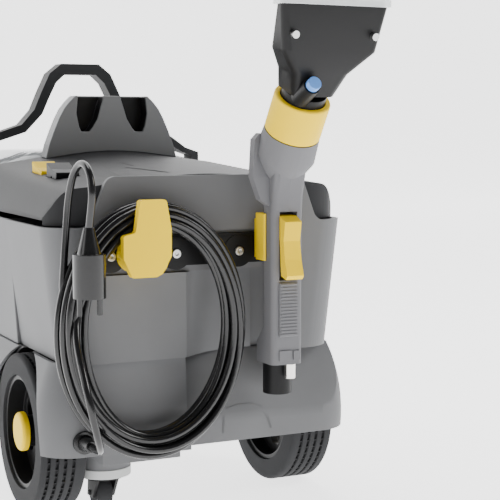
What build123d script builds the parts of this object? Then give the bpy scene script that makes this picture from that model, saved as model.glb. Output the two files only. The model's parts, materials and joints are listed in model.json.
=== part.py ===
"""Compact spray-extraction carpet cleaner with its hand tool and mains lead stowed on the back wall.

X runs across the machine, Y forward and Z up from the floor. Every piece is drawn with Y counted
forward from the back wall, and moved by SHIFT_Y when it is written, which puts the origin under the
middle of the whole machine.
"""
from build123d import *
from math import cos, pi, radians, sin, tan
import os

# Driving sizes, millimetres
WALL = 4.0                # moulded shells
REAR_WALL = 8.0           # thick back wall that the strip screws into
SEAM_Z = 164.0            # joint between the base and the tanks
SKIRT_Z = 75.0            # lower edge of the base
SHOULDER_Z = 295.0        # top of the tank's side walls
RIM_Z = 343.0             # top of the tank's back wall
HALF_SKIRT = 168.0        # half width at the skirt
HALF_SEAM = HALF_SKIRT - 22       # half width at the seam
HALF_SHOULDER = HALF_SKIRT - 6    # half width at the shoulder
TANK_DEPTH = 150.0
BAY_DEPTH = 140.0         # motor bay, in front of the fresh-water tank
BASE_LENGTH = 520.0
NOSE_RADIUS = 38.0
CORNER_RADIUS = 35.0
GAP = 1.0                 # between shells that lift apart
FACE_GAP = 0.3            # between faces that move past each other
RUNNING = 0.05            # radial play of a pin in its hole

WHEEL_R = 80.0
WHEEL_W = 47.0
WHEEL_X = HALF_SKIRT - 30
WHEEL_Y = 113.0
RIM_R = 58.0
AXLE_R = 6.0
ARCH_GAP = 8.0            # wheel to wheel arch
LINER = 3.0
LINER_WIDTH = 42.0
ARCH_INNER = WHEEL_X - WHEEL_W / 2 - 7

CASTOR_R = 16.0
CASTOR_W = 16.0
CASTOR_TRAIL = 9.0
CASTOR_PIN_R = 3.0
CASTOR_STEM_R = 6.0
COLLAR_R = 28.0
COLLAR_Z = 37.0
COLLAR_H = 9.0
SUMP_Z = 64.0
CASTOR_PLACES = [(-84.0, 75.0, SUMP_Z), (-95.0, BASE_LENGTH - 90, SKIRT_Z),
                 (95.0, BASE_LENGTH - 90, SKIRT_Z)]

STRIP_Z = (249.0, 288.0)
STRIP_X = (-118.0, 84.0)
STRIP_DEPTH = 5.0
SCREW_X = [-101.0, -33.7, 33.7]
SCREW_Z = 267.0
SCREW_R = 2.2
SCREW_HEAD_R = 4.5

TOOL_X = 63.0
TOOL_RECESS = (61.0, 92.0, 34.0)      # low X, high X, depth
SCOOP = (-23.0, 30.0, 249.0)          # low X, depth, top
SLOPE_FOOT = 104.0                    # where the sloping back of the base meets its skirt

HOOK_X = -79.0
COIL_X = -67.0
HOOK_Z = 268.0
HOOK_ARM_R = 17.0
HOOK_SADDLE = 22.0        # height of the saddle that the coil hangs on, above the hook's pivot

COIL_Z = 198.5
COIL_HALF = (97.0, 124.5)             # outer half width and half height of the coil
COIL_BUNDLE = 27.0                    # thickness of the bundle of turns across the ring
COIL_Y = (-40.0, -10.0)
CORD_R = 3.5

DECK_END = TANK_DEPTH + BAY_DEPTH     # front edge of the upper shell
WASTE_FRONT = BASE_LENGTH - 15
WASTE_TOP = 340.0
HALF_WASTE = HALF_SEAM

TOOL_LEAN = 33.5                      # degrees that the neck of the hand tool leans back
NECK_Y, NECK_Z = -45.0, 366.0
NUT_R = 27.5
NECK_R = 21.7
MOUTH_Z = 505.0
MOUTH_Y = -136.0
MOUTH_HALF = (57.5, 9.0)
NOSE_Y = BASE_LENGTH + 2
SHIFT_Y = -(NOSE_Y + MOUTH_Y - MOUTH_HALF[1]) / 2

parts = {}


def block(x, y, z):
    """A box between pairs of limits."""
    size = [high - low for low, high in (x, y, z)]
    middle = [(high + low) / 2 for low, high in (x, y, z)]
    return Pos(*middle) * Box(*size)


def rod(start, direction, radius, length):
    """A round bar from a point along a direction."""
    plane = Plane(origin=start, z_dir=direction)
    return plane * Cylinder(radius, length, align=(Align.CENTER, Align.CENTER, Align.MIN))


def cone(start, direction, radius, end_radius, length):
    """A tapered round bar from a point along a direction."""
    plane = Plane(origin=start, z_dir=direction)
    return plane * Cone(radius, end_radius, length, align=(Align.CENTER, Align.CENTER, Align.MIN))


def tube(start, direction, radius, bore, length):
    """A round tube from a point along a direction."""
    return rod(start, direction, radius, length) - rod(start, direction, bore, length)


def across(points, y):
    """An outline of X, Z points extruded between two Y values."""
    face = Plane.XZ * Polygon(*points, align=None)
    return Pos(0, y[0], 0) * extrude(face, y[1] - y[0], dir=(0, 1, 0))


def sideways(points, x):
    """An outline of Y, Z points extruded between two X values."""
    face = Plane.YZ * Polygon(*points, align=None)
    return Pos(x[0], 0, 0) * extrude(face, x[1] - x[0], dir=(1, 0, 0))


def mirrored(points):
    """A right-hand outline, closed by its mirror image in X."""
    return points + [(-x, z) for x, z in reversed(points)]


def deck(x, y, z, width, depth, radius):
    """A rounded rectangle lying flat, centred at a point."""
    return Pos(x, y, z) * RectangleRounded(width, depth, radius)


def flip(shape):
    """The mirror image on the other side of the machine."""
    return mirror(shape, about=Plane.YZ)


# ---- fresh-water tank, whose back wall carries everything that is stowed -------------------------
def tank_block(inset, floor):
    """The tank's outer form, or its inside when inset."""
    slope = (HALF_SHOULDER - HALF_SEAM) / (SHOULDER_Z - SEAM_Z)
    low = HALF_SEAM + (floor - SEAM_Z) * slope - inset
    if inset:
        outline = mirrored([(low, floor), (HALF_SHOULDER - inset, SHOULDER_Z),
                            (HALF_SHOULDER - inset, RIM_Z + 20)])
        solid = across(outline, (REAR_WALL, TANK_DEPTH - WALL))
    else:
        outline = mirrored([(low, floor), (HALF_SHOULDER, SHOULDER_Z), (HALF_SHOULDER - 40, SHOULDER_Z),
                            (HALF_SHOULDER - 58, RIM_Z)])
        solid = across(outline, (0, TANK_DEPTH))
    back = REAR_WALL if inset else 0
    corners = [e for e in solid.edges() if abs(e.center().Y - back) < 0.01
               and abs(e.center().X) > HALF_SEAM - 2 * WALL and e.center().Z < SHOULDER_Z
               and abs((e % 0.5).Z) > 0.9]
    return fillet(corners, CORNER_RADIUS - inset)


def fresh_tank():
    x0, x1, depth = TOOL_RECESS
    scoop_x, scoop_depth, scoop_z = SCOOP
    shell = tank_block(0, SEAM_Z)
    crest = [e for e in shell.edges() if abs((e % 0.5).Y) > 0.9 and e.center().Z > SHOULDER_Z - 1
             and abs(e.center().X) < HALF_SHOULDER - 32]
    shell = fillet(crest, 12)
    keep = block((x0 - WALL, x1 + WALL), (0, depth + WALL), (SEAM_Z, RIM_Z))
    keep += block((scoop_x - 2 * WALL, x0), (0, scoop_depth + WALL), (SEAM_Z, scoop_z + WALL))
    shell -= tank_block(WALL, SEAM_Z + WALL) - keep
    shell -= block((-HALF_SHOULDER, HALF_SHOULDER), (REAR_WALL - 2, TANK_DEPTH + 1),
                   (SHOULDER_Z, RIM_Z + 1)) - block((x0 - WALL, x1 + WALL), (0, depth + WALL),
                                                    (0, SHOULDER_Z + 8))
    shell -= block((x0, x1), (-1, depth), (SEAM_Z - 1, RIM_Z + 1))
    scoop = Polygon((scoop_x, 0), (scoop_x + 14, scoop_depth * 0.36), (scoop_x + 32, scoop_depth * 0.76),
                    (scoop_x + 56, scoop_depth), (x0 + 1, scoop_depth), (x0 + 1, -1), (scoop_x, -1),
                    align=None)
    shell -= Pos(0, 0, SEAM_Z - 1) * extrude(scoop, scoop_z - SEAM_Z + 1, dir=(0, 0, 1))
    shell -= block((STRIP_X[0] - 0.5, x1), (-1, STRIP_DEPTH),
                   (STRIP_Z[0] - 0.5, STRIP_Z[1] + 0.5))
    for x in SCREW_X:
        shell -= rod((x, STRIP_DEPTH - 1, SCREW_Z), (0, 1, 0), SCREW_R + RUNNING, 20)
    return shell


parts["fresh_tank"] = fresh_tank()


# ---- base ---------------------------------------------------------------------------------------
def base_form(inset, floor):
    """The flared base, smaller at the seam than at the skirt."""
    levels = [(SKIRT_Z, HALF_SKIRT, 0.0), (125.0, HALF_SKIRT - 3, 0.6), (SEAM_Z, HALF_SEAM + 6, 3.0)]
    faces = []
    for z, half, back in levels:
        length = BASE_LENGTH - 2 * back
        faces.append(deck(0, BASE_LENGTH / 2, max(z, floor) if z == SKIRT_Z else z,
                          2 * (half - inset), length - 2 * inset, NOSE_RADIUS - inset))
    lean = 1.15 * inset
    slope = sideways([(lean - 20, SLOPE_FOOT - 40), (lean, SLOPE_FOOT), (lean + SCOOP[1], SEAM_Z + 1),
                      (lean - 20, SEAM_Z + 1)], (SCOOP[0] - inset, HALF_SKIRT + 5))
    return loft(Sketch() + faces) - slope


BRACKET = ((35.0, 100.0), (WHEEL_Y - 9, WHEEL_Y + 15), (60.0, SKIRT_Z))
BEAM = (13.0, 100.0)      # half depth and top of the cross beam that holds the axle


def base_housing():
    shell = base_form(0, SKIRT_Z) - base_form(WALL, SKIRT_Z + WALL)
    for side in (1, -1):
        shell -= rod((side * ARCH_INNER, WHEEL_Y, WHEEL_R), (side, 0, 0), WHEEL_R + ARCH_GAP, 90)
    shell += block((-ARCH_INNER, ARCH_INNER), (WHEEL_Y - BEAM[0], WHEEL_Y + BEAM[0]), (SKIRT_Z, BEAM[1]))
    shell -= rod((-200, WHEEL_Y, WHEEL_R), (1, 0, 0), AXLE_R + RUNNING, 400)
    for x, y, z in CASTOR_PLACES[1:]:
        shell += rod((x, y, COLLAR_Z + COLLAR_H), (0, 0, 1), COLLAR_R - 1, z - COLLAR_Z - COLLAR_H + 1)
        shell -= rod((x, y, COLLAR_Z), (0, 0, 1), CASTOR_STEM_R + RUNNING, 26)
    return shell


parts["base_housing"] = base_housing()


def wheel_liner(side):
    """The dark inner skin of a wheel arch, a half tube closed on its inner side."""
    outer_r = WHEEL_R + ARCH_GAP
    liner = rod((side * ARCH_INNER, WHEEL_Y, WHEEL_R), (side, 0, 0), outer_r, LINER_WIDTH)
    liner -= rod((side * (ARCH_INNER + LINER), WHEEL_Y, WHEEL_R), (side, 0, 0), outer_r - LINER, LINER_WIDTH)
    liner -= block((-200, 200), (-50, 300), (-50, SKIRT_Z + WALL + 1))
    liner -= block((-200, 200), (-50, 300), (SEAM_Z, 300))
    liner -= rod((-200, WHEEL_Y, WHEEL_R), (1, 0, 0), AXLE_R + 1, 400)
    return liner


parts["wheel_liners"] = wheel_liner(1) + wheel_liner(-1)

brackets = block(*BRACKET) + flip(block(*BRACKET))
parts["axle_brackets"] = brackets - rod((-200, WHEEL_Y, WHEEL_R), (1, 0, 0), AXLE_R + RUNNING, 400)

sump = block((-110, -17), (3, WHEEL_Y - 16), (SUMP_Z, SKIRT_Z))
sump -= block((-29, -17), (0, 30), (SUMP_Z - 1, SUMP_Z + 6))
sump += rod((*CASTOR_PLACES[0][:2], COLLAR_Z + COLLAR_H), (0, 0, 1), COLLAR_R - 1,
            SUMP_Z - COLLAR_Z - COLLAR_H + 1)
parts["sump"] = sump - rod((*CASTOR_PLACES[0][:2], COLLAR_Z), (0, 0, 1), CASTOR_STEM_R + RUNNING, 26)

# ---- motor bay ----------------------------------------------------------------------------------
COWL_LOW, COWL_HIGH = HALF_SEAM + 4, HALF_SEAM + 12      # half widths at the foot and the top
cowl = across(mirrored([(COWL_LOW, SEAM_Z), (COWL_HIGH, SHOULDER_Z)]), (TANK_DEPTH + GAP, DECK_END))
cowl_in = across(mirrored([(COWL_LOW - WALL, SEAM_Z + WALL), (COWL_HIGH - WALL, SHOULDER_Z + 1)]),
                 (TANK_DEPTH + GAP + WALL, DECK_END - WALL))
MOTOR_Y = TANK_DEPTH + BAY_DEPTH / 2
parts["motor_cowl"] = cowl - cowl_in
MOTOR_R, MOTOR_H = 42.0, 120.0
SHAFT_R = 5.0
BLADES = 8
motor = rod((0, MOTOR_Y, SEAM_Z + WALL), (0, 0, 1), MOTOR_R, MOTOR_H)
motor -= rod((0, MOTOR_Y, SEAM_Z + 70), (0, 0, 1), MOTOR_R - 4, 40)
motor -= rod((0, MOTOR_Y, SEAM_Z + 20), (0, 0, 1), SHAFT_R + RUNNING, 60)
motor -= rod((0, MOTOR_Y, SEAM_Z + 105), (0, 0, 1), 18, 40)
motor += tube((0, MOTOR_Y, SEAM_Z + WALL + MOTOR_H), (0, 0, 1), 24, 18, 36)
parts["motor_housing"] = motor
impeller = rod((0, MOTOR_Y, SEAM_Z + 72), (0, 0, 1), MOTOR_R - 6, 4)
for blade in range(BLADES):
    turn = Pos(0, MOTOR_Y, 0) * Rot(0, 0, blade * 360 / BLADES)
    impeller += turn * block((8, MOTOR_R - 7), (-1, 1), (SEAM_Z + 74, SEAM_Z + 96))
impeller += rod((0, MOTOR_Y, SEAM_Z + 22), (0, 0, 1), SHAFT_R, 72)
parts["impeller"] = impeller
parts["pump"] = (block((40, 100), (300, 350), (SKIRT_Z + WALL, 120))
                 + rod((70, 350, 100), (0, 1, 0), 16, 50))

# ---- upper shell --------------------------------------------------------------------------------
def shell_section(y, half, crown, drop):
    """The shell's cross section: a gently domed top falling to rounded shoulders."""
    with BuildSketch(Plane(origin=(0, y, 0), x_dir=(1, 0, 0), z_dir=(0, -1, 0))) as section:
        with BuildLine():
            shoulder = Spline((half, SHOULDER_Z + GAP), (half - 6, SHOULDER_Z + 0.45 * (crown - drop
                              - SHOULDER_Z)), (half - 28, crown - drop), tangents=[(0, 1), (-1, 0.12)])
            top = Spline(shoulder @ 1, (0, crown), (28 - half, crown - drop),
                         tangents=[(-1, 0.12), (-1, -0.12)])
            other = Spline(top @ 1, (6 - half, SHOULDER_Z + 0.45 * (crown - drop - SHOULDER_Z)),
                           (-half, SHOULDER_Z + GAP), tangents=[(-1, -0.12), (0, -1)])
            Line(other @ 1, shoulder @ 0)
        make_face()
    return section.sketch.face()


def upper_form(inset):
    """The shell's outer form, with the tank's rounded corners, or its inside when inset."""
    rear = shell_section(REAR_WALL - 1 + inset, HALF_SHOULDER - 3 - inset, RIM_Z + 1 - inset, 12)
    front = shell_section(DECK_END - inset, HALF_SHOULDER - 6 - inset, RIM_Z + 20 - inset, 15)
    corner = CORNER_RADIUS + 12
    low, high = REAR_WALL - 1 + inset, DECK_END + corner
    plan = deck(0, (low + high) / 2, SHOULDER_Z - 5, 2 * (HALF_SHOULDER - inset), high - low, corner)
    return loft([rear, front]) & extrude(plan, 100)


SWITCH_X, SWITCH_YS = -112.0, (110.0, 160.0)
SWITCH_SIZE = (24.0, 34.0)
upper = upper_form(0) - Pos(0, 0, -1.5) * upper_form(WALL)
upper -= block((-HALF_SHOULDER, HALF_SHOULDER), (WALL + 30, DECK_END - 20), (SHOULDER_Z - 2, SHOULDER_Z + 6))
upper -= block((TOOL_RECESS[0] - WALL - 1, TOOL_RECESS[1] + WALL + 1), (0, TOOL_RECESS[2] + WALL + 1),
               (0, SHOULDER_Z + 9))
for y in SWITCH_YS:
    upper -= block((SWITCH_X - SWITCH_SIZE[0] / 2 - GAP, SWITCH_X + SWITCH_SIZE[0] / 2 + GAP),
                   (y - SWITCH_SIZE[1] / 2 - 2 * GAP, y + SWITCH_SIZE[1] / 2 + 2 * GAP), (300, 400))
parts["upper_shell"] = upper

SWITCH_PIVOT_Z, SWITCH_PIN_R = 338.0, 2.0
for name, y in zip(("suction_switch", "spray_switch"), SWITCH_YS):
    half = SWITCH_SIZE[1] / 2
    rocker = sideways([(y - half, SWITCH_PIVOT_Z + 6), (y, SWITCH_PIVOT_Z + 9), (y + half, SWITCH_PIVOT_Z + 16),
                       (y + half - 3, SWITCH_PIVOT_Z - 6), (y - half + 3, SWITCH_PIVOT_Z - 6)],
                      (SWITCH_X - SWITCH_SIZE[0] / 2, SWITCH_X + SWITCH_SIZE[0] / 2))
    rocker = fillet(rocker.edges().filter_by(Axis.X), 1.5)
    parts[name] = rocker - rod((SWITCH_X - SWITCH_SIZE[0], y, SWITCH_PIVOT_Z), (1, 0, 0), SWITCH_PIN_R,
                               2 * SWITCH_SIZE[0])

# ---- air-intake hump behind the waste tank ------------------------------------------------------
HUMP_Y = (DECK_END - 22, DECK_END - 0.5)
HUMP_HALF = [(81, 350), (76, 369.5), (70, 385), (63.7, 399.5), (58, 410), (51.5, 418), (44, 425)]
hump = across(mirrored(HUMP_HALF), HUMP_Y)
HUMP_SLOT = [(11, 430), (11, 421), (14, 412), (18, 398.7), (24.5, 388), (28, 384), (37.5, 384), (40, 389.7),
             (43, 405), (40.5, 430)]
for side in (1, -1):
    slot = across([(side * x, z) for x, z in HUMP_SLOT], (HUMP_Y[0] - 1, HUMP_Y[1] - WALL))
    hump -= slot
hump -= block((-18, 18), (HUMP_Y[0] + WALL, HUMP_Y[1] - WALL), (340, 382))
parts["intake_hump"] = hump - upper_form(0)

# ---- waste tank, which lifts out ----------------------------------------------------------------
WASTE_Y = (DECK_END + GAP, WASTE_FRONT)


def waste_form(inset, floor, top):
    middle = (WASTE_Y[0] + WASTE_Y[1]) / 2
    depth = WASTE_Y[1] - WASTE_Y[0] - 2 * inset
    low = deck(0, middle, floor, 2 * (HALF_SEAM - 4 - inset), depth - 8, 30 - inset)
    high = deck(0, middle, top, 2 * (HALF_WASTE - inset), depth, 30 - inset)
    return loft(Sketch() + [low, high])


WASTE_LOW = SEAM_Z + GAP
waste = waste_form(0, WASTE_LOW, WASTE_TOP) - waste_form(WALL, WASTE_LOW - 0.01, WASTE_TOP + 0.01)
floor_y = (WASTE_Y[0] + WASTE_Y[1]) / 2
floor_plan = deck(0, floor_y, WASTE_LOW, 2 * (HALF_SEAM - 4 - WALL), WASTE_Y[1] - WASTE_Y[0] - 2 * WALL - 8,
                  30 - WALL)
parts["waste_floor"] = extrude(floor_plan, WALL)
FLOAT_Y, FLOAT_R = 330.0, 13.4
PIPE_R, PIPE_BORE, PIPE_H = 17.0, 14.0, 120.0
parts["float_pipe"] = tube((0, FLOAT_Y, WASTE_LOW + WALL), (0, 0, 1), PIPE_R, PIPE_BORE, PIPE_H)
HOSE_X, HOSE_Z = -50.0, 300.0
SOCKET_R, SOCKET_BORE = 22.0, 19.0
waste -= rod((HOSE_X, WASTE_Y[1] - 20, HOSE_Z), (0, 1, 0), SOCKET_R, 40)
parts["waste_tank"] = waste
SOCKET_Y = (WASTE_Y[1] - 12, WASTE_Y[1] + 0.6, NOSE_Y)      # inner end, step that stops the cuff, mouth
hose_socket = rod((HOSE_X, SOCKET_Y[0], HOSE_Z), (0, 1, 0), SOCKET_R, SOCKET_Y[2] - SOCKET_Y[0])
hose_socket += rod((HOSE_X, WASTE_Y[1] + 1.5, HOSE_Z), (0, 1, 0), SOCKET_R + 5, 5)
hose_socket -= rod((HOSE_X, SOCKET_Y[0] - 1, HOSE_Z), (0, 1, 0), SOCKET_BORE - 2, 60)
hose_socket -= rod((HOSE_X, SOCKET_Y[1], HOSE_Z), (0, 1, 0), SOCKET_BORE, 60)
parts["hose_socket"] = hose_socket

lid_y = (WASTE_Y[0] + WASTE_Y[1]) / 2
lid_depth = WASTE_Y[1] - WASTE_Y[0]
SEAL = 3.0
seal = extrude(deck(0, lid_y, WASTE_TOP, 2 * HALF_WASTE - 4, lid_depth - 4, 28), SEAL)
seal -= extrude(deck(0, lid_y, WASTE_TOP, 2 * HALF_WASTE - 14, lid_depth - 14, 24), SEAL)
parts["lid_seal"] = seal
LID_Z = WASTE_TOP + SEAL


def lid_form(inset, floor):
    low = deck(0, lid_y, floor, 2 * HALF_WASTE - 2 * inset, lid_depth - 2 * inset, 30 - inset)
    high = deck(0, lid_y, LID_Z + 18 - inset, 2 * (HALF_WASTE - 60 - inset), lid_depth - 60 - 2 * inset,
                40 - inset)
    return loft(Sketch() + [low, high])


lid = lid_form(0, LID_Z) - lid_form(WALL, LID_Z - 0.01)
parts["tank_lid"] = lid

parts["float_ball"] = Pos(0, FLOAT_Y, WASTE_LOW + WALL + FLOAT_R + 0.1) * Sphere(FLOAT_R)
FILTER_Y, FILTER_R, FILTER_BORE, FILTER_H = WASTE_FRONT - 85, 45.0, 42.0, 70.0
basket = rod((0, FILTER_Y, WASTE_TOP - FILTER_H), (0, 0, 1), FILTER_R, FILTER_H)
basket += block((-HALF_WASTE + 8, HALF_WASTE - 8), (FILTER_Y - 8, FILTER_Y - 4), (WASTE_TOP - 8, WASTE_TOP - 1))
basket -= rod((0, FILTER_Y, WASTE_TOP - FILTER_H + 3), (0, 0, 1), FILTER_BORE, FILTER_H)
parts["fluff_filter"] = basket

# ---- carry handle, a bail that swings on the waste tank -----------------------------------------
HANDLE_Y, HANDLE_Z = WASTE_FRONT - 113, 326.0
HANDLE_IN, HANDLE_OUT = HALF_WASTE + 1.5, HALF_WASTE + 11.5
HANDLE_TOP = 466.0
HANDLE_HALF = 12.0
arch_out = mirrored([(HANDLE_OUT, HANDLE_Z - 14), (HANDLE_OUT, 357), (140, 363), (120, 377), (75, 392),
                     (59, 410), (50, 431), (39, 454), (24, HANDLE_TOP)])
arch_in = mirrored([(HANDLE_IN, HANDLE_Z - 20), (HANDLE_IN, 353), (136, 357), (116, 368), (70, 383),
                    (49, 405), (40, 425), (31, 443), (20, HANDLE_TOP - 13)])
bail = across(arch_out, (HANDLE_Y - HANDLE_HALF, HANDLE_Y + HANDLE_HALF))
bail -= across(arch_in, (HANDLE_Y - HANDLE_HALF - 1, HANDLE_Y + HANDLE_HALF + 1))
PIN_R = 5.0
for side in (1, -1):
    bail -= rod((side * (HANDLE_IN - 2), HANDLE_Y, HANDLE_Z), (side, 0, 0), PIN_R + RUNNING, 30)
parts["carry_handle"] = bail
pins = Part()
for side in (1, -1):
    pins += rod((side * (HALF_WASTE - 6), HANDLE_Y, HANDLE_Z), (side, 0, 0), PIN_R, HANDLE_OUT - HALF_WASTE + 6)
    pins += rod((side * (HANDLE_OUT + FACE_GAP), HANDLE_Y, HANDLE_Z), (side, 0, 0), PIN_R + 2.5, 2.5)
parts["handle_pins"] = pins
for side in (1, -1):
    parts["waste_tank"] -= rod((side * (HALF_WASTE - 10), HANDLE_Y, HANDLE_Z), (side, 0, 0), PIN_R, 30)

# ---- spray outlet on the front ------------------------------------------------------------------
SPRAY_X, SPRAY_Z = 55.0, 128.0
OUTLET_R, OUTLET_BORE = 9.0, 5.0
parts["spray_outlet"] = tube((SPRAY_X, BASE_LENGTH - 24, SPRAY_Z), (0, 1, 0), OUTLET_R, OUTLET_BORE,
                             NOSE_Y - BASE_LENGTH + 24)
parts["base_housing"] -= rod((SPRAY_X, BASE_LENGTH - 30, SPRAY_Z), (0, 1, 0), OUTLET_R, 60)

# ---- rear wheels --------------------------------------------------------------------------------
AXLE_HALF = WHEEL_X + WHEEL_W / 2 - 4
parts["rear_axle"] = rod((-AXLE_HALF, WHEEL_Y, WHEEL_R), (1, 0, 0), AXLE_R, 2 * AXLE_HALF)
GROOVES = 4
GROOVE_PITCH, GROOVE_DEPTH = 8.5, 3.5
SPOKES = 6
HUB_R = 16.0
for name, side in (("right", 1), ("left", -1)):
    start = side * (WHEEL_X - WHEEL_W / 2)
    tyre = tube((start, WHEEL_Y, WHEEL_R), (side, 0, 0), WHEEL_R, RIM_R, WHEEL_W)
    edges = [e for e in tyre.edges() if e.geom_type == GeomType.CIRCLE and e.radius > WHEEL_R - 1]
    tyre = fillet(edges, 4)
    for groove in range(GROOVES):
        place = side * (WHEEL_X + (groove - (GROOVES - 1) / 2) * GROOVE_PITCH - 1.5 * side)
        tyre -= tube((place, WHEEL_Y, WHEEL_R), (side, 0, 0), WHEEL_R + 1, WHEEL_R - GROOVE_DEPTH, 3)
    parts["tyre_" + name] = tyre
    rim = tube((start + side * 3, WHEEL_Y, WHEEL_R), (side, 0, 0), RIM_R, RIM_R - 5, WHEEL_W - 6)
    rim += rod((start + side * 18, WHEEL_Y, WHEEL_R), (side, 0, 0), RIM_R - 3, 8)
    rim += rod((start + side * 1, WHEEL_Y, WHEEL_R), (side, 0, 0), HUB_R, WHEEL_W - 8)
    for spoke in range(SPOKES):
        angle = 2 * pi * (spoke + 0.5) / SPOKES
        rim -= rod((start, WHEEL_Y + 34 * cos(angle), WHEEL_R + 34 * sin(angle)), (side, 0, 0), 11, 60)
    rim -= rod((start - side, WHEEL_Y, WHEEL_R), (side, 0, 0), AXLE_R + RUNNING, WHEEL_W + 2)
    parts["wheel_rim_" + name] = rim
    cap = rod((start + side * (WHEEL_W - 7), WHEEL_Y, WHEEL_R), (side, 0, 0), 20, 8)
    cap = fillet([e for e in cap.edges() if abs(e.center().X) > abs(start) + WHEEL_W - 1], 4)
    cap -= rod((start + side * (WHEEL_W - 8), WHEEL_Y, WHEEL_R), (side, 0, 0), AXLE_R + 1, 5)
    parts["hub_cap_" + name] = cap

# ---- castors ------------------------------------------------------------------------------------
collars = Part()
for x, y, _ in CASTOR_PLACES:
    collars += tube((x, y, COLLAR_Z), (0, 0, 1), COLLAR_R, CASTOR_STEM_R + RUNNING, COLLAR_H)
parts["castor_collars"] = collars
for number, (x, y, _) in enumerate(CASTOR_PLACES, 1):
    crown_z = 2 * CASTOR_R + 1.5
    fork = rod((x, y, crown_z), (0, 0, 1), 20, COLLAR_Z - crown_z - FACE_GAP)
    fork += rod((x, y, crown_z), (0, 0, 1), CASTOR_STEM_R, 28)
    cheek = CASTOR_W / 2 + 1
    for side in (1, -1):
        edge = sorted((x + side * cheek, x + side * (cheek + 3)))
        fork += sideways([(y - 14, crown_z + 1), (y + 14, crown_z + 1), (y + CASTOR_TRAIL + 8, CASTOR_R - 4),
                          (y + CASTOR_TRAIL - 8, CASTOR_R - 4)], edge)
    fork -= rod((x - 30, y + CASTOR_TRAIL, CASTOR_R), (1, 0, 0), CASTOR_PIN_R + RUNNING, 60)
    parts[f"castor_fork_{number}"] = fork
    wheel = rod((x - CASTOR_W / 2, y + CASTOR_TRAIL, CASTOR_R), (1, 0, 0), CASTOR_R, CASTOR_W)
    wheel = fillet([e for e in wheel.edges() if e.geom_type == GeomType.CIRCLE], 2)
    reach = cheek + 4
    wheel += rod((x - reach, y + CASTOR_TRAIL, CASTOR_R), (1, 0, 0), CASTOR_PIN_R, 2 * reach)
    parts[f"castor_wheel_{number}"] = wheel

# ---- bracket strip, screws, hook and clip -------------------------------------------------------
strip = block(STRIP_X, (1, STRIP_DEPTH), (STRIP_Z[0] + 6, STRIP_Z[1] - 3))
for x in SCREW_X:
    strip += rod((x, 0, SCREW_Z), (0, 1, 0), 16, STRIP_DEPTH)
strip += rod((HOOK_X, -1, HOOK_Z), (0, 1, 0), HOOK_ARM_R - 1, STRIP_DEPTH + 1)
strip = strip & block(STRIP_X, (-2, STRIP_DEPTH), STRIP_Z)
for x in SCREW_X:
    strip -= rod((x, -2, SCREW_Z), (0, 1, 0), SCREW_R + RUNNING, 20)
HOOK_PIN_R = 4.0
HOOK_FRONT = (-50.0, COIL_Y[0] - 2.0)
strip += rod((HOOK_X, HOOK_FRONT[0] + 4, HOOK_Z), (0, 1, 0), HOOK_PIN_R, STRIP_DEPTH - HOOK_FRONT[0] - 4)
parts["bracket_strip"] = strip
screws = Part()
for x in SCREW_X:
    screws += rod((x, -2.5, SCREW_Z), (0, 1, 0), SCREW_HEAD_R, 2.5) + rod((x, -1, SCREW_Z), (0, 1, 0), SCREW_R, 14)
    screws -= rod((x, -3, SCREW_Z), (0, 1, 0), 1.6, 2)
parts["bracket_screws"] = screws

hook = rod((HOOK_X, HOOK_FRONT[0], HOOK_Z), (0, 1, 0), HOOK_ARM_R, -1 - FACE_GAP - HOOK_FRONT[0])
tongue = across([(HOOK_X - 11, 323), (HOOK_X + 15, 323), (HOOK_X + 20, 295), (HOOK_X + 20, 270),
                 (HOOK_X + 11, 254), (HOOK_X + 5, 251), (HOOK_X - 19, 251), (HOOK_X - 27.6, 269),
                 (HOOK_X - 27.6, 290), (HOOK_X - 15.5, 293)], HOOK_FRONT)
tongue = fillet(tongue.edges().filter_by(Axis.Y), 3)
hook += tongue
hook += block((HOOK_X - 8, HOOK_X + 8), (HOOK_FRONT[0], -4), (HOOK_Z, HOOK_Z + HOOK_SADDLE))
hook -= rod((HOOK_X, HOOK_FRONT[0] + 3, HOOK_Z), (0, 1, 0), HOOK_PIN_R + RUNNING, 80)
parts["cord_hook"] = hook

GRIP_Y = (-50.0, -27.0)
GRIP_HALF = 17.0
CLIP_GAP = 0.6
CLIP_OUT = GRIP_HALF + 3.4
clip = block((TOOL_X - 12, TOOL_X + 12), (-20, 0), (SCREW_Z - 7, SCREW_Z + 32))
clip += block((TOOL_X - CLIP_OUT, TOOL_X + CLIP_OUT), (-24, -20), (SCREW_Z - 7, SCREW_Z + 39))
for side in (1, -1):
    jaw = sorted((TOOL_X + side * (GRIP_HALF + CLIP_GAP), TOOL_X + side * CLIP_OUT))
    clip += block(jaw, (-38, -20), (SCREW_Z - 7, SCREW_Z + 39))
clip -= block((TOOL_X - 8, TOOL_X + 8), (-20, -3), (SCREW_Z - 8, SCREW_Z + 40))
parts["tool_clip"] = clip

# ---- hand tool ----------------------------------------------------------------------------------
lean = radians(TOOL_LEAN)
NECK_DIR = (0, -sin(lean), cos(lean))


def along(distance):
    """A point on the leaning neck's axis."""
    return (TOOL_X, NECK_Y - distance * sin(lean), NECK_Z + distance * cos(lean))


NUT = (23.3, 62.0)
STUB_X, STUB_Y, STUB_BORE = TOOL_X + 4, -20.0, 9.5
HALVES_OUTLINE = [(-50, 158), (-50, 300), (-52, 322), (-58, 344), (-42, 366), (-20, 348), (-24, 330),
                  (-27, 300), (-27, 190), (-16, 178), (-16, 158)]
COLLAR_FLARE = NUT_R + 2
TRIGGER_PIVOT = (-36.0, 300.0)
TRIGGER_SLOT = ((-60.0, -33.0), (241.0, 308.0))
TRIGGER_HALF = 9.0
TRIGGER_PIN_R = 2.5


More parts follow.
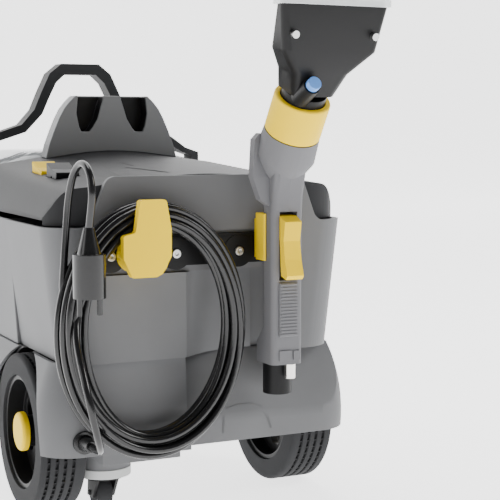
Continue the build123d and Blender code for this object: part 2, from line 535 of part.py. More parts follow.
def tool_halves():
    body = sideways(HALVES_OUTLINE, (TOOL_X - GRIP_HALF, TOOL_X + GRIP_HALF))
    body = fillet([e for e in body.edges() if abs((e % 0.5).Z) > 0.95 and e.center().Z > 180], 6)
    body += cone(along(-34), NECK_DIR, 17, COLLAR_FLARE, 32)
    body += cone(along(-2), NECK_DIR, COLLAR_FLARE, NUT_R, NUT[0] + 2 - FACE_GAP)
    body -= rod(along(-30), NECK_DIR, 15, 60)
    body -= block((TOOL_X - TRIGGER_HALF - 0.5, TOOL_X + TRIGGER_HALF + 0.5), *TRIGGER_SLOT)
    body -= rod((STUB_X, STUB_Y, 157), (0, 0, 1), STUB_BORE, 24)
    body -= rod((TOOL_X - 13, *TRIGGER_PIVOT), (1, 0, 0), TRIGGER_PIN_R, 26)
    return body


tool_body = tool_halves()
side_cut = block((TOOL_X - 80, TOOL_X), (-200, 50), (100, 500))
parts["tool_shell_left"] = tool_body - Pos(80, 0, 0) * side_cut
parts["tool_shell_right"] = tool_body - side_cut
parts["grip_insert"] = block((TOOL_X - 10, TOOL_X + 10), (-52.5, -50), (186, 239))
parts["trigger_pin"] = rod((TOOL_X - 13, *TRIGGER_PIVOT), (1, 0, 0), TRIGGER_PIN_R, 26)
trigger = sideways([(-61, 299), (-50, 304), (-39, 305), (-33.5, 303), (-33.5, 296), (-43, 290), (-50, 280),
                    (-53, 246), (-63, 243), (-66, 247), (-61, 262), (-58, 280)],
                   (TOOL_X - TRIGGER_HALF, TOOL_X + TRIGGER_HALF))
trigger = fillet(trigger.edges().filter_by(Axis.X), 0.8)
trigger -= rod((TOOL_X - 13, *TRIGGER_PIVOT), (1, 0, 0), TRIGGER_PIN_R + RUNNING, 26)
parts["trigger"] = trigger
parts["tool_fin"] = across([(TOOL_X - 33, 378), (TOOL_X - 27, 384), (TOOL_X - 12, 345), (TOOL_X - 12, 310),
                            (TOOL_X - 27, 320), (TOOL_X - 35, 342)], (-44, -34))
parts["tool_fin"] -= tool_body + rod(along(0), NECK_DIR, NUT_R + 1, 90)
nut = tube(along(NUT[0]), NECK_DIR, NUT_R, NECK_R + FACE_GAP, NUT[1] - NUT[0])
nut = fillet([e for e in nut.edges() if e.geom_type == GeomType.CIRCLE and e.radius > NUT_R - 1], 2)
parts["union_nut"] = nut
parts["suction_stub"] = (tube((STUB_X, STUB_Y, 125), (0, 0, 1), 14.5, 11.5, 30)
                         + tube((STUB_X, STUB_Y, 155), (0, 0, 1), 14.5, 7.5, 2.9)
                         + tube((STUB_X, STUB_Y, 157), (0, 0, 1), STUB_BORE - 0.1, 7.5, 22))
parts["spray_coupling"] = tube((TOOL_X + 6, -43, 143), (0, 0, 1), 5.5, 2.5, 15)

NOZZLE_LEVELS = [((-84, 424), 20, 44, 40, 8), ((-98, 442), 14, 58, 40, 8), ((-119, 460), 10, 96, 32, 8),
                 ((MOUTH_Y, MOUTH_Z - 7), 0, 109, 14, 5)]    # place, lean, width, thickness, corner


def nozzle_form(inset, ends):
    """The nozzle's fan, in straight-sided stages from the neck to the mouth."""
    faces = []
    for (y, z), tilt, width, thick, corner in NOZZLE_LEVELS:
        lift = ends if z > MOUTH_Z - 10 else -ends if z < 430 else 0
        level = Plane(origin=(TOOL_X, y, z + lift), x_dir=(1, 0, 0),
                      z_dir=(0, -sin(radians(tilt)), cos(radians(tilt))))
        faces.append((level * RectangleRounded(width - 2 * inset, thick - 2 * inset, corner - inset)).face())
    stages = [loft([low, high], ruled=True) for low, high in zip(faces, faces[1:])]
    return stages[0] + stages[1] + stages[2]


neck = rod(along(NUT[0] + 2), NECK_DIR, NECK_R, NUT[1] - NUT[0] + 6)
neck_bore = rod(along(NUT[0] + 1), NECK_DIR, NECK_R - 4, NUT[1] - NUT[0] + 12)
parts["nozzle_head"] = (nozzle_form(0, 0) + neck) - nozzle_form(2.5, 0.01) - neck_bore
lip = Pos(TOOL_X, MOUTH_Y, MOUTH_Z - 7) * RectangleRounded(2 * MOUTH_HALF[0], 2 * MOUTH_HALF[1], 4)
lip_bore = Pos(TOOL_X, MOUTH_Y, MOUTH_Z - 7) * RectangleRounded(2 * MOUTH_HALF[0] - 11, 2 * MOUTH_HALF[1] - 9, 2)
parts["nozzle_mouth"] = extrude(lip, 7) - extrude(lip_bore, 7)
SPRAY_FOOT = Vector(TOOL_X - 12, -96, 416)
SPRAY_DIR = Vector(0, -0.9, 0.43)
SPRAY_REACH = 25.0
parts["spray_barrel"] = cone(SPRAY_FOOT, SPRAY_DIR, 9, 8, SPRAY_REACH) - (nozzle_form(0, 0) + neck)
parts["spray_cap"] = rod(SPRAY_FOOT + SPRAY_DIR * (SPRAY_REACH + 0.4), SPRAY_DIR, 6.5, 7)
nozzle_screws = Part()
for x in (TOOL_X - 41, TOOL_X + 41):
    nozzle_screws += rod((x, -143, 471), (0, 1, 0.18), 3.5, 12)
parts["nozzle_screws"] = nozzle_screws - nozzle_form(0, 0)

# ---- mains lead ---------------------------------------------------------------------------------
GLAND_X, GLAND_Z = -130.0, 90.0
gland = cone((GLAND_X, -22, GLAND_Z), (0, 1, 0), 5.5, 8, 18) + rod((GLAND_X, -4, GLAND_Z), (0, 1, 0), 11, 5)
gland -= base_form(0, SKIRT_Z)
parts["cord_gland"] = gland - rod((GLAND_X, -22, GLAND_Z), (0, 1, 0), CORD_R, 10)
ring = Plane(origin=(COIL_X, COIL_Y[1], COIL_Z), z_dir=(0, -1, 0), x_dir=(1, 0, 0))
eye = ring * Ellipse(COIL_HALF[0] - COIL_BUNDLE, COIL_HALF[1] - COIL_BUNDLE)
coil = extrude(ring * Ellipse(*COIL_HALF) - eye, COIL_Y[1] - COIL_Y[0])
parts["cord_coil"] = coil

ROUTE = [(GLAND_X, -12, GLAND_Z), (GLAND_X, -42, GLAND_Z), (-137, -68, 98), (-147, -83, 121),
         (-153, -82, 150), (-154, -66, 176), (-152, -46, 196), (-147, -32, 220)]


def corner_radii(points):
    """The largest arc that each corner's two runs allow."""
    radii = []
    for before, here, after in zip(points, points[1:], points[2:]):
        first, second = Vector(*here) - Vector(*before), Vector(*after) - Vector(*here)
        half_turn = radians(first.get_angle(second)) / 2
        radii.append(0.45 * min(first.length, second.length) / tan(half_turn))
    return radii


radii = corner_radii(ROUTE)
print("cord radii", [round(r, 1) for r in radii])
path = FilletPolyline(*ROUTE, radius=radii)
start = Plane(origin=path @ 0, z_dir=path % 0)
lead = sweep(start * Circle(CORD_R), path=path)
print("cord length", round(path.length, 1), "volume ratio", lead.volume / (pi * CORD_R ** 2 * path.length))
parts["cord_lead"] = lead
PLUG_X, PLUG_Y, PLUG_Z = -142.0, -56.0, 236.0
PLUG_R, PLUG_H = 15.0, 40.0
plug = rod((PLUG_X, PLUG_Y, PLUG_Z), (0, 0, 1), PLUG_R, PLUG_H)
plug += cone((PLUG_X, PLUG_Y, PLUG_Z + PLUG_H), (0, 0, 1), 11, 5, 24)
for side in (1, -1):
    plug += rod((PLUG_X + side * 9.5, PLUG_Y, PLUG_Z - 16), (0, 0, 1), 2.4, 17)
parts["mains_plug"] = plug

os.makedirs("parts", exist_ok=True)
for name, shape in parts.items():
    export_step(Pos(0, SHIFT_Y, 0) * shape, f"parts/{name}.step")
print(len(parts), "nodes")
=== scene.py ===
"""Looks of a compact spray-extraction carpet cleaner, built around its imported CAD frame."""
import json
from math import cos, pi, radians, sin

import bmesh
import bpy
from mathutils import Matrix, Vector
from mathutils.bvhtree import BVHTree


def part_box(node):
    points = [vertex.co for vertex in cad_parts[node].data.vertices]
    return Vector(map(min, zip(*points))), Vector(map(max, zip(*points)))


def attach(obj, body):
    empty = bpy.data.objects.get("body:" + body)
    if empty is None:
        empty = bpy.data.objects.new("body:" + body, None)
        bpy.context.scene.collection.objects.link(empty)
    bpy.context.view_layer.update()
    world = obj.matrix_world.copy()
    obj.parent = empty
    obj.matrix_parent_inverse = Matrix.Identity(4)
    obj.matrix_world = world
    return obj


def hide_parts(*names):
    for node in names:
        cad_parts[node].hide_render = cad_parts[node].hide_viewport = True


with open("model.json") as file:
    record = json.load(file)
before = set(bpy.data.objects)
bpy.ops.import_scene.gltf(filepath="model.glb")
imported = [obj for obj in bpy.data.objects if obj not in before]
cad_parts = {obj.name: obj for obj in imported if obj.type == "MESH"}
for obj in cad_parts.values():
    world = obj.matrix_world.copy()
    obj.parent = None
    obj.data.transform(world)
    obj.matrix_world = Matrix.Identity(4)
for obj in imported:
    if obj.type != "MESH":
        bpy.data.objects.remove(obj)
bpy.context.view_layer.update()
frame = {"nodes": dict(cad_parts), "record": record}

bl_info = {
    "name": "Carpet Cleaner",
    "version": (1, 0, 0),
    "blender": (4, 5, 0),
    "location": "View3D > Sidebar > Cleaner",
    "description": "Builds the finished pieces of a spray-extraction carpet cleaner",
    "category": "Add Mesh",
}

NODES = frame["nodes"]
BODY_OF = {node: body for body, members in frame["record"]["behaviour"]["bodies"].items()
           for node in members}
SLOT_OF = {part["node"]: part["material_slot"] for part in frame["record"]["subparts"]}

WALL_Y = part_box("fresh_tank")[0].y
TOOL_X = sum(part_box("trigger")[i].x for i in (0, 1)) / 2
COIL_LOW, COIL_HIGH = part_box("cord_coil")
MM = 0.001


def place(x, y, z):
    """A point in metres from millimetres counted forward from the back wall."""
    return Vector((x * MM, WALL_Y + y * MM, z * MM))


# ---- sizes and colours that a user may change ----------------------------------------------------
class CleanerColours(bpy.types.PropertyGroup):
    body: bpy.props.FloatVectorProperty(
        name="Body", description="Moulded grey of the tank and base", subtype="COLOR", size=3,
        default=(0.14, 0.142, 0.146), min=0, max=1)
    shell: bpy.props.FloatVectorProperty(
        name="Upper shell", description="Dark grey of the deck, waste tank and handle",
        subtype="COLOR", size=3, default=(0.02, 0.0205, 0.022), min=0, max=1)
    yellow: bpy.props.FloatVectorProperty(
        name="Accent", description="Yellow of the hook, clip, trigger and union nut",
        subtype="COLOR", size=3, default=(0.92, 0.62, 0.0), min=0, max=1)
    tool: bpy.props.FloatVectorProperty(
        name="Hand tool", description="Grey of the hand tool", subtype="COLOR", size=3,
        default=(0.11, 0.112, 0.117), min=0, max=1)


class CleanerSizes(bpy.types.PropertyGroup):
    edge: bpy.props.FloatProperty(
        name="Edge", description="Rounding of moulded edges", default=0.0012, min=0, unit="LENGTH")
    cable: bpy.props.FloatProperty(
        name="Cable", description="Diameter of the mains cable", default=0.007, min=0.003,
        unit="LENGTH")
    turns: bpy.props.IntProperty(
        name="Turns", description="Full turns of cable in the coil", default=12, min=1, max=12)
    grip_ribs: bpy.props.IntProperty(
        name="Grip ribs", description="Ribs across the lower grip", default=16, min=2, max=40)
    tread: bpy.props.IntProperty(
        name="Tread", description="Cross cuts round each tyre", default=60, min=8, max=120)


# ---- materials -----------------------------------------------------------------------------------
def plastic(name, colour, rough=0.5, grain=1400.0, bump=0.06, mottle=0.06, specular=0.3):
    """Moulded plastic: a fine spark-eroded grain, slight mottling and uneven gloss."""
    if name in bpy.data.materials:
        return bpy.data.materials[name]
    material = bpy.data.materials.new(name)
    material.use_nodes = True
    nodes, links = material.node_tree.nodes, material.node_tree.links
    shader = nodes["Principled BSDF"]
    shader.inputs["Specular IOR Level"].default_value = specular
    coords = nodes.new("ShaderNodeTexCoord")
    cloud = nodes.new("ShaderNodeTexNoise")
    cloud.inputs["Scale"].default_value = 14
    cloud.inputs["Detail"].default_value = 5
    grit = nodes.new("ShaderNodeTexNoise")
    grit.inputs["Scale"].default_value = grain
    grit.inputs["Detail"].default_value = 3
    links.new(coords.outputs["Object"], cloud.inputs["Vector"])
    links.new(coords.outputs["Object"], grit.inputs["Vector"])
    ramp = nodes.new("ShaderNodeValToRGB")
    low, high = ramp.color_ramp.elements
    low.position, high.position = 0.3, 0.7
    low.color = (*[c * (1 - mottle) for c in colour[:3]], 1)
    high.color = (*[min(1, c * (1 + mottle)) for c in colour[:3]], 1)
    links.new(cloud.outputs["Fac"], ramp.inputs["Fac"])
    links.new(ramp.outputs["Color"], shader.inputs["Base Color"])
    gloss = nodes.new("ShaderNodeMapRange")
    gloss.inputs["To Min"].default_value = max(0.05, rough - 0.05)
    gloss.inputs["To Max"].default_value = rough + 0.05
    links.new(grit.outputs["Fac"], gloss.inputs["Value"])
    links.new(gloss.outputs["Result"], shader.inputs["Roughness"])
    relief = nodes.new("ShaderNodeBump")
    relief.inputs["Strength"].default_value = bump
    relief.inputs["Distance"].default_value = 0.0004
    links.new(grit.outputs["Fac"], relief.inputs["Height"])
    links.new(relief.outputs["Normal"], shader.inputs["Normal"])
    return material


def metal(name, colour, rough):
    """Plated metal with fine drawn marks."""
    material = plastic(name, colour, rough, grain=700, bump=0.03, mottle=0.04)
    material.node_tree.nodes["Principled BSDF"].inputs["Metallic"].default_value = 1
    return material


def clear(name, colour, rough, alpha):
    """Clear moulded plastic."""
    material = plastic(name, colour, rough, grain=300, bump=0.02, mottle=0.02)
    shader = material.node_tree.nodes["Principled BSDF"]
    shader.inputs["Alpha"].default_value = alpha
    shader.inputs["IOR"].default_value = 1.49
    return material


def finish_of(slot_name):
    """The finish of a material slot."""
    colours = bpy.context.scene.cleaner_colours
    makers = {
        "body_grey": lambda: plastic("moulded_grey", colours.body, 0.52, specular=0.25),
        "dark_grey": lambda: plastic("dark_shell", colours.shell, 0.5, specular=0.18),
        "hump_grey": lambda: plastic("hump_grey", (0.035, 0.036, 0.038), 0.42),
        "black_plastic": lambda: plastic("satin_black", (0.006, 0.006, 0.0065), 0.42, 900,
                                         specular=0.22),
        "tool_grey": lambda: plastic("tool_grey", colours.tool, 0.48),
        "yellow": lambda: plastic("accent_yellow", colours.yellow, 0.45, 600, 0.03, 0.02,
                                  specular=0.12),
        "cord_black": lambda: plastic("cable_sheath", (0.006, 0.006, 0.0065), 0.22, 500, 0.03,
                                      specular=0.5),
        "tyre_grey": lambda: plastic("tyre_rubber", (0.03, 0.0305, 0.032), 0.8, 500, 0.2, 0.12,
                                     specular=0.15),
        "collar_grey": lambda: plastic("collar_grey", (0.52, 0.53, 0.52), 0.45),
        "blue_cap": lambda: plastic("spray_blue", (0.12, 0.3, 0.72), 0.35, 600, 0.03),
        "clear_mouth": lambda: clear("clear_mouth", (0.86, 0.89, 0.9), 0.12, 0.55),
        "smoke_lid": lambda: clear("smoke_lid", (0.1, 0.105, 0.11), 0.15, 0.8),
        "seal_rubber": lambda: plastic("seal_rubber", (0.02, 0.02, 0.02), 0.7, 500),
        "steel": lambda: metal("zinc_steel", (0.62, 0.62, 0.61), 0.3),
        "nickel": lambda: metal("nickel_plate", (0.78, 0.76, 0.72), 0.16),
        "motor_black": lambda: plastic("motor_black", (0.03, 0.03, 0.034), 0.35, 300),
        "mesh_grey": lambda: plastic("basket_grey", (0.2, 0.2, 0.2), 0.55),
        "float_white": lambda: plastic("float_white", (0.8, 0.8, 0.78), 0.4),
    }
    return makers[slot_name]()


def dress(obj, slot_name):
    """Gives a piece the finish of a slot."""
    obj.data.materials.clear()
    obj.data.materials.append(finish_of(slot_name))


# ---- mesh helpers --------------------------------------------------------------------------------
def add_piece(name, mesh, body, slot_name, smooth_angle=35):
    """Links a mesh as a finished piece that rides on a body."""
    obj = bpy.data.objects.new(name, mesh)
    bpy.context.scene.collection.objects.link(obj)
    mesh.shade_smooth()
    mesh.set_sharp_from_angle(angle=radians(smooth_angle))
    dress(obj, slot_name)
    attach(obj, body)
    return obj


def bake(obj):
    """Turns an object's modifiers into plain mesh."""
    graph = bpy.context.evaluated_depsgraph_get()
    graph.update()
    mesh = bpy.data.meshes.new_from_object(obj.evaluated_get(graph))
    obj.modifiers.clear()
    obj.data = mesh
    return obj


def moulded(node, edge=None, smooth_angle=32):
    """A CAD node's surface joined up, smooth-shaded and with softened edges, in place of the node."""
    mesh = NODES[node].data.copy()
    form = bmesh.new()
    form.from_mesh(mesh)
    bmesh.ops.remove_doubles(form, verts=form.verts, dist=1e-6)
    bmesh.ops.dissolve_limit(form, angle_limit=radians(0.6), verts=form.verts, edges=form.edges)
    form.to_mesh(mesh)
    form.free()
    obj = bpy.data.objects.new(node + "_moulding", mesh)
    bpy.context.scene.collection.objects.link(obj)
    mesh.shade_smooth()
    mesh.set_sharp_from_angle(angle=radians(smooth_angle))
    width = bpy.context.scene.cleaner_sizes.edge if edge is None else edge
    if width:
        bevel = obj.modifiers.new("edge", "BEVEL")
        bevel.width, bevel.segments = width, 2
        bevel.limit_method, bevel.angle_limit = "ANGLE", radians(smooth_angle + 6)
        bevel.harden_normals = True
    bake(obj)
    dress(obj, SLOT_OF[node])
    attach(obj, BODY_OF[node])
    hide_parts(node)
    return obj


def surface_of(node):
    """A searchable surface of a CAD node."""
    form = bmesh.new()
    form.from_mesh(NODES[node].data)
    tree = BVHTree.FromBMesh(form)
    form.free()
    return tree


def raised_outline(name, outline, height, body, slot_name):
    """A thin raised plate whose outline lies on a surface; outline holds base points and normals."""
    form = bmesh.new()
    low = [form.verts.new(p - n * height) for p, n in outline]
    high = [form.verts.new(p + n * height) for p, n in outline]
    form.faces.new(high)
    form.faces.new(low[::-1])
    for i in range(len(low)):
        j = (i + 1) % len(low)
        form.faces.new((low[i], low[j], high[j], high[i]))
    bmesh.ops.recalc_face_normals(form, faces=form.faces)
    mesh = bpy.data.meshes.new(name)
    form.to_mesh(mesh)
    form.free()
    return add_piece(name, mesh, body, slot_name)


# ---- geometry nodes ------------------------------------------------------------------------------
def new_tree(name, inputs):
    """An empty geometry tree with float or integer inputs."""
    tree = bpy.data.node_groups.new(name, "GeometryNodeTree")
    for label, kind in inputs:
        tree.interface.new_socket(label, in_out="INPUT", socket_type=kind)
    tree.interface.new_socket("Geometry", in_out="OUTPUT", socket_type="NodeSocketGeometry")
    return tree, tree.nodes.new("NodeGroupInput"), tree.nodes.new("NodeGroupOutput")


def repeat_tree(name, material):
    """Copies a small block along a line or round a ring and turns each copy with the ring."""
    tree, entry, leave = new_tree(name, [
        ("Count", "NodeSocketInt"), ("Radius", "NodeSocketFloat"), ("Size", "NodeSocketVector"),
        ("Step", "NodeSocketVector"), ("Around", "NodeSocketFloat")])
    nodes, links = tree.nodes, tree.links
    line = nodes.new("GeometryNodeMeshLine")
    links.new(entry.outputs["Count"], line.inputs["Count"])
    links.new(entry.outputs["Step"], line.inputs["Offset"])
    cube = nodes.new("GeometryNodeMeshCube")
    links.new(entry.outputs["Size"], cube.inputs["Size"])
    lift = nodes.new("GeometryNodeTransform")
    shift = nodes.new("ShaderNodeCombineXYZ")
    links.new(entry.outputs["Radius"], shift.inputs["Z"])
    links.new(cube.outputs["Mesh"], lift.inputs["Geometry"])
    links.new(shift.outputs["Vector"], lift.inputs["Translation"])
    index = nodes.new("GeometryNodeInputIndex")
    angle = nodes.new("ShaderNodeMath")
    angle.operation = "MULTIPLY"
    links.new(index.outputs["Index"], angle.inputs[0])
    links.new(entry.outputs["Around"], angle.inputs[1])
    turn = nodes.new("ShaderNodeCombineXYZ")
    links.new(angle.outputs["Value"], turn.inputs["X"])
    copies = nodes.new("GeometryNodeInstanceOnPoints")
    links.new(line.outputs["Mesh"], copies.inputs["Points"])
    links.new(lift.outputs["Geometry"], copies.inputs["Instance"])
    links.new(turn.outputs["Vector"], copies.inputs["Rotation"])
    real = nodes.new("GeometryNodeRealizeInstances")
    paint = nodes.new("GeometryNodeSetMaterial")
    paint.inputs["Material"].default_value = material
    links.new(copies.outputs["Instances"], real.inputs["Geometry"])
    links.new(real.outputs["Geometry"], paint.inputs["Geometry"])
    links.new(paint.outputs["Geometry"], leave.inputs["Geometry"])
    return tree


def repeated(name, centre, body, slot_name, values, bevel=0.0):
    """A plain mesh of copies made by the repeat tree."""
    tree = repeat_tree(name + "_tree", finish_of(slot_name))
    obj = bpy.data.objects.new(name, bpy.data.meshes.new(name))
    bpy.context.scene.collection.objects.link(obj)
    modifier = obj.modifiers.new("repeat", "NODES")
    modifier.node_group = tree
    sockets = {item.name: item.identifier for item in tree.interface.items_tree
               if item.in_out == "INPUT"}
    for label, value in values.items():
        modifier[sockets[label]] = value
    if bevel:
        soft = obj.modifiers.new("soft", "BEVEL")
        soft.width, soft.segments = bevel, 2
    bake(obj)
    for vertex in obj.data.vertices:
        vertex.co += centre
    dress(obj, slot_name)
    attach(obj, body)
    return obj


# ---- stage ---------------------------------------------------------------------------------------
PAPER_HALF, PAPER_NEAR, PAPER_FAR, PAPER_TOP = 14.0, -9.0, 7.0, 12.0
PAPER_BEND, BEND_STEPS = 3.0, 12
PAPER_GLOW, WORLD_LIGHT = 2.3, 0.2
LAMPS = (("key", (1.9, -1.1, 1.6), 0.8, 26), ("rim_left", (-2.3, -0.3, 1.1), 1.0, 8),
         ("top", (0.1, 0.3, 2.4), 1.0, 20))
LAMP_AIM = Vector((0, -0.1, 0.25))
CAMERA_LENS, CAMERA_AZIMUTH, CAMERA_PITCH = 95.5, 26, 5.4


class CLEANER_OT_stage(bpy.types.Operator):
    """Floor, soft studio lights and camera"""
    bl_idname = "cleaner.stage"
    bl_label = "Stage"

    def execute(self, context):
        mesh = bpy.data.meshes.new("floor")
        foot = PAPER_FAR - PAPER_BEND
        profile = [(PAPER_NEAR, 0.0), (foot, 0.0)]
        for i in range(1, BEND_STEPS + 1):
            angle = i * pi / (2 * BEND_STEPS)
            profile.append((foot + PAPER_BEND * sin(angle), PAPER_BEND - PAPER_BEND * cos(angle)))
        profile.append((PAPER_FAR, PAPER_TOP))
        spots = [(x, y, z) for y, z in profile for x in (-PAPER_HALF, PAPER_HALF)]
        mesh.from_pydata(spots, [], [(2 * i, 2 * i + 1, 2 * i + 3, 2 * i + 2)
                                     for i in range(len(profile) - 1)])
        mesh.shade_smooth()
        floor = bpy.data.objects.new("floor", mesh)
        context.scene.collection.objects.link(floor)
        paper = plastic("studio_paper", (0.9, 0.9, 0.905), 0.9, 5, 0, 0.002)
        glow = paper.node_tree.nodes["Principled BSDF"]
        glow.inputs["Emission Color"].default_value = (1, 1, 1, 1)
        glow.inputs["Emission Strength"].default_value = PAPER_GLOW
        floor.data.materials.append(paper)
        world = bpy.data.worlds.new("studio")
        context.scene.world = world
        world.use_nodes = True
        background = world.node_tree.nodes["Background"]
        background.inputs["Color"].default_value = (0.92, 0.92, 0.93, 1)
        background.inputs["Strength"].default_value = WORLD_LIGHT
        for lamp in LAMPS:
            self.light(*lamp)
        camera = bpy.data.objects.new("camera", bpy.data.cameras.new("camera"))
        context.scene.collection.objects.link(camera)
        camera.data.lens = CAMERA_LENS
        camera.location = place(-532.5, -1186.7, 392)
        azimuth, pitch = radians(CAMERA_AZIMUTH), radians(CAMERA_PITCH)
        aim = Vector((sin(azimuth) * cos(pitch), cos(azimuth) * cos(pitch), -sin(pitch)))
        camera.rotation_euler = aim.to_track_quat("-Z", "Y").to_euler()
        context.scene.camera = camera
        return {"FINISHED"}

    def light(self, name, position, size, power):
        """A square soft light aimed at the machine."""
        lamp = bpy.data.lights.new(name, "AREA")
        lamp.size, lamp.energy = size, power
        obj = bpy.data.objects.new(name, lamp)
        bpy.context.scene.collection.objects.link(obj)
        obj.location = position
        obj.rotation_euler = (LAMP_AIM - obj.location).to_track_quat("-Z", "Y").to_euler()


# ---- cable ---------------------------------------------------------------------------------------
ROUTE = [(-130, -12, 90), (-130, -42, 90), (-137, -68, 98), (-147, -83, 121), (-153, -82, 150),
         (-154, -66, 176), (-152, -46, 196), (-147, -32, 220)]
TAIL = [(-155, -14, 225), (-152, -13, 262), (-149, -13, 300), (-147, -15, 328), (-145, -25, 350),
        (-143, -43, 359), (-142, -61, 350), (-142, -67, 330), (-142, -61, 312), (-142, -56, 298),
        (-142, -56, 284)]
POINTS_PER_TURN = 16
RADIAL_STEP, DEPTH_STEP = 6.9, 6.8
COIL_INSET, COIL_BACK = 13.2, -35.4         # ring line inside the CAD coil; depth of its first layer
FIRST_ANGLE, LAST_ANGLE = 168.0, 195.0      # degrees where the lead joins and the tail leaves
CELLS = [(0.5, 0), (1.5, 0), (2.5, 0), (3, 1), (2, 1), (1, 1), (0, 1), (0.5, 2), (1.5, 2), (2.5, 2),
         (3, 3), (2, 3), (1, 3)]


def coil_points(turns):
    """The coil's turns: rings that hang from the hook, packed there and looser below."""
    low, high = COIL_LOW / MM, COIL_HIGH / MM
    centre_x, centre_z = (low.x + high.x) / 2, (low.z + high.z) / 2
    half_x, half_z = (high.x - low.x) / 2 - COIL_INSET, (high.z - low.z) / 2 - COIL_INSET
    count = int((turns * 360 + FIRST_ANGLE - LAST_ANGLE) / 360 * POINTS_PER_TURN)
    points = []
    for step in range(1, count):
        angle = radians(FIRST_ANGLE - step * 360 / POINTS_PER_TURN)
        ring = step / POINTS_PER_TURN
        here, after = int(ring) % len(CELLS), min(int(ring) + 1, len(CELLS) - 1)
        share = ring - int(ring)
        share = share * share * (3 - 2 * share)
        radial, depth = [CELLS[here][i] * (1 - share) + CELLS[after][i] * share for i in (0, 1)]
        loose = 0.5 - 0.5 * sin(angle)
        out = (radial - 1.5) * RADIAL_STEP + loose * 3.0 * sin(2.0 * angle + 1.9 * ring)
        deep = COIL_BACK + depth * DEPTH_STEP + loose * 1.2 * sin(1.3 * angle + 2.3 * ring)
        points.append((centre_x + (half_x + out) * cos(angle), deep,
                       centre_z + (half_z + out) * sin(angle)))
    return points


class CLEANER_OT_cable(bpy.types.Operator):
    """Mains cable: its lead, the coil on the hook, the tail and the plug"""
    bl_idname = "cleaner.cable"
    bl_label = "Mains cable"

    def execute(self, context):
        sizes = context.scene.cleaner_sizes
        curve = bpy.data.curves.new("mains_cable", "CURVE")
        curve.dimensions = "3D"
        spline = curve.splines.new("NURBS")
        points = ROUTE + coil_points(sizes.turns) + TAIL
        spline.points.add(len(points) - 1)
        for point, spot in zip(spline.points, points):
            point.co = (*place(*spot), 1)
        spline.order_u = 3
        spline.use_endpoint_u = True
        curve.resolution_u = 5
        curve.bevel_depth = sizes.cable / 2
        curve.bevel_resolution = 3
        curve.use_fill_caps = True
        cable = bpy.data.objects.new("mains_cable", curve)
        context.scene.collection.objects.link(cable)
        dress(cable, "cord_black")
        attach(cable, "machine")
        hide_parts("cord_lead", "cord_coil")
        plug = moulded("mains_plug")
        moulded("cord_gland", 0.0006)
        return {"FINISHED"}


# ---- body ----------------------------------------------------------------------------------------
class CLEANER_OT_body(bpy.types.Operator):
    """Moulded shells of the tanks, base, bay and hump"""
    bl_idname = "cleaner.body"
    bl_label = "Body shells"

    def execute(self, context):
        for node in ("fresh_tank", "base_housing", "motor_cowl", "sump", "axle_brackets",
                     "upper_shell", "waste_tank", "waste_floor", "intake_hump", "carry_handle",
                     "wheel_liners"):
            moulded(node)
        self.fill_arrow()
        self.fender_line()
        # each air slot gets a black sheet inside it as painted shade
        for side in (1, -1):
            self.slot_painted_shade(side)
        return {"FINISHED"}

    def slot_painted_shade(self, side):
        """A black sheet over the back and walls of an air slot, a little inside the hump: painted
        shade standing in for the shade inside the slot.
        """
        shape = [(11, 424), (11, 421), (14, 412), (18, 398.7), (24.5, 388), (28, 384), (37.5, 384),
                 (40, 389.7), (43, 405), (41, 424)]
        middle = Vector((sum(x for x, _ in shape), sum(z for _, z in shape))) / len(shape)
        shrink, front_gap, back_gap = 0.975, 1.2, 4.3
        rim = [middle + (Vector(spot) - middle) * shrink for spot in shape]
        hump_low, hump_high = [(corner.y - WALL_Y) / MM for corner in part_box("intake_hump")]
        rings = [[(side * spot.x, y, spot.y) for spot in rim]
                 for y in (hump_low + front_gap, hump_high - back_gap)]
        form = bmesh.new()
        near, far = [[form.verts.new(place(*spot)) for spot in ring] for ring in rings]
        form.faces.new(far)
        for i in range(len(near) - 1):
            form.faces.new((near[i], near[i + 1], far[i + 1], far[i]))
        mesh = bpy.data.meshes.new("slot_painted_shade")
        form.to_mesh(mesh)
        form.free()
        add_piece("slot_painted_shade_" + ("right" if side > 0 else "left"), mesh, "machine", "black_plastic")

    def fill_arrow(self):
        """A thin arrow laid on the deck, its tip towards the back edge."""
        middle, columns, lift = -28, 4, Vector((0, 0, 0.0005))
        deck = surface_of("upper_shell")
        rows = [(30 + 7.5 * i, 1.9 * i) for i in range(11)] + [(105, 8), (120, 8), (135, 8), (150, 8)]
        form = bmesh.new()
        grid = []
        for y, half in rows:
            row = []
            for column in range(-columns, columns + 1):
                above = place(middle + half * column / columns, y, 450)
                hit = deck.ray_cast(above, Vector((0, 0, -1)))[0]
                row.append(form.verts.new(hit + lift))
            grid.append(row)
        for low, high in zip(grid, grid[1:]):
            for k in range(2 * columns):
                form.faces.new((low[k], low[k + 1], high[k + 1], high[k]))
        mesh = bpy.data.meshes.new("fill_arrow")
        form.to_mesh(mesh)
        form.free()
        add_piece("fill_arrow", mesh, "machine", "dark_grey")

    def fender_line(self):
        """A faint raised line on the fender, an arch open at the foot."""
        base = surface_of("base_housing")
        path = [(16, 84), (17, 100), (22, 108), (34, 110), (48, 110), (60, 106), (66, 96), (70, 84)]
        width = 1.1
        sides = [[], []]
        for i, (x, z) in enumerate(path):
            before, after = path[max(0, i - 1)], path[min(len(path) - 1, i + 1)]
            run = Vector((after[0] - before[0], 0, after[1] - before[1])).normalized()
            normal = Vector((-run.z, 0, run.x)) * width
            for side, sign in zip(sides, (1, -1)):
                spot = place(x + sign * normal.x, -60, z + sign * normal.z)
                hit = base.ray_cast(spot, Vector((0, 1, 0)))
                side.append((hit[0], Vector((0, -1, 0))))
        raised_outline("fender_line", sides[0] + sides[1][::-1], 0.0004, "machine", "body_grey")


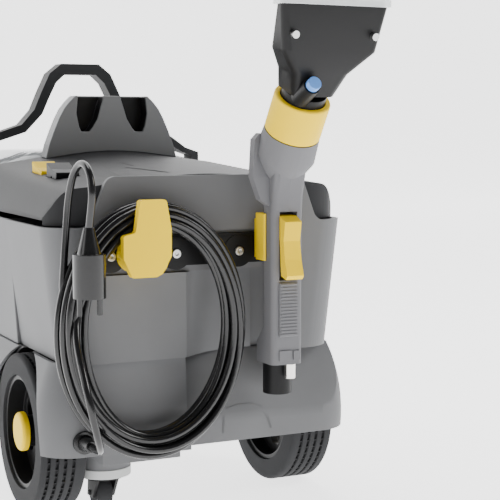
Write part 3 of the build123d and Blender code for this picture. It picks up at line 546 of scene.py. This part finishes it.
class CLEANER_OT_fittings(bpy.types.Operator):
    """Strip, screws, hook, clip, sockets and the other small fixed and moving pieces"""
    bl_idname = "cleaner.fittings"
    bl_label = "Fittings"

    def execute(self, context):
        for node in ("bracket_strip", "tool_clip", "hose_socket", "spray_outlet", "tank_lid",
                     "suction_switch", "spray_switch", "handle_pins", "castor_collars",
                     "bracket_screws", "nozzle_screws"):
            moulded(node, 0.0006)
        moulded("cord_hook", 0.003)
        for node in ("lid_seal", "fluff_filter", "float_ball", "float_pipe", "motor_housing",
                     "impeller", "pump", "rear_axle", "trigger_pin"):
            dress(NODES[node], SLOT_OF[node])
        return {"FINISHED"}


class CLEANER_OT_wheels(bpy.types.Operator):
    """Rear wheels with ribbed, cross-cut tyres, and castors"""
    bl_idname = "cleaner.wheels"
    bl_label = "Wheels and castors"

    def execute(self, context):
        count = context.scene.cleaner_sizes.tread
        for side in ("left", "right"):
            for node in ("tyre_", "wheel_rim_", "hub_cap_"):
                moulded(node + side, 0.0008)
            low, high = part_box("tyre_" + side)
            centre = (low + high) / 2
            radius = (high.z - low.z) / 2 - 0.0024
            repeated("tread_blocks_" + side, centre, "wheel_" + side, "tyre_grey", {
                "Count": count, "Radius": radius, "Step": (0, 0, 0), "Around": 2 * pi / count,
                "Size": (0.036, 0.0012, 0.003)})
        for number in (1, 2, 3):
            moulded(f"castor_fork_{number}", 0.0008)
            moulded(f"castor_wheel_{number}", 0.0006)
        return {"FINISHED"}


class CLEANER_OT_hand_tool(bpy.types.Operator):
    """Hand tool with its grip, trigger, nut, nozzle and couplings"""
    bl_idname = "cleaner.hand_tool"
    bl_label = "Hand tool"

    def execute(self, context):
        for node in ("tool_shell_left", "tool_shell_right", "tool_fin", "grip_insert", "union_nut",
                     "suction_stub", "spray_coupling", "spray_barrel", "spray_cap", "nozzle_mouth"):
            moulded(node, 0.0008)
        moulded("trigger", 0.0014)
        moulded("nozzle_head", 0.0015, 40)
        low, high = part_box("grip_insert")
        ribs = context.scene.cleaner_sizes.grip_ribs
        step = (high.z - low.z - 0.004) / (ribs - 1)
        start = Vector(((low.x + high.x) / 2, low.y, low.z + 0.002))
        for name, (left, right), (foot, top) in (("grip_block", (-9.5, 4), (162, 172)),
                                                 ("grip_tab", (6, 13), (162.5, 171.5))):
            front = [(left, foot), (right, foot), (right, top), (left, top)]
            outline = [(place(TOOL_X / MM + u, -50, v), Vector((0, -1, 0))) for u, v in front]
            raised_outline(name, outline, 0.0014, "hand_tool", "tool_grey")
        repeated("grip_ribs", start, "hand_tool", "tool_grey", {
            "Count": ribs, "Radius": 0.0, "Step": (0, 0, step), "Around": 0.0,
            "Size": (0.018, 0.0016, step * 0.5)}, 0.0003)
        return {"FINISHED"}


class CLEANER_PT_panel(bpy.types.Panel):
    """Lists the build steps of the carpet cleaner"""
    bl_label = "Carpet cleaner"
    bl_idname = "CLEANER_PT_panel"
    bl_space_type = "VIEW_3D"
    bl_region_type = "UI"
    bl_category = "Cleaner"

    def draw(self, context):
        layout = self.layout
        for group in (context.scene.cleaner_colours, context.scene.cleaner_sizes):
            for label in group.__annotations__:
                layout.prop(group, label)
        for step in STEPS:
            layout.operator(step.bl_idname)


STEPS = (CLEANER_OT_stage, CLEANER_OT_cable, CLEANER_OT_body, CLEANER_OT_fittings, CLEANER_OT_wheels,
         CLEANER_OT_hand_tool)
CLASSES = (CleanerColours, CleanerSizes, *STEPS, CLEANER_PT_panel)


def register():
    for item in CLASSES:
        bpy.utils.register_class(item)
    bpy.types.Scene.cleaner_colours = bpy.props.PointerProperty(type=CleanerColours)
    bpy.types.Scene.cleaner_sizes = bpy.props.PointerProperty(type=CleanerSizes)


def unregister():
    del bpy.types.Scene.cleaner_colours
    del bpy.types.Scene.cleaner_sizes
    for item in reversed(CLASSES):
        bpy.utils.unregister_class(item)


def main():
    register()
    bpy.ops.cleaner.stage()
    bpy.ops.cleaner.cable()
    bpy.ops.cleaner.body()
    bpy.ops.cleaner.fittings()
    bpy.ops.cleaner.wheels()
    bpy.ops.cleaner.hand_tool()


if __name__ == "__main__":
    main()
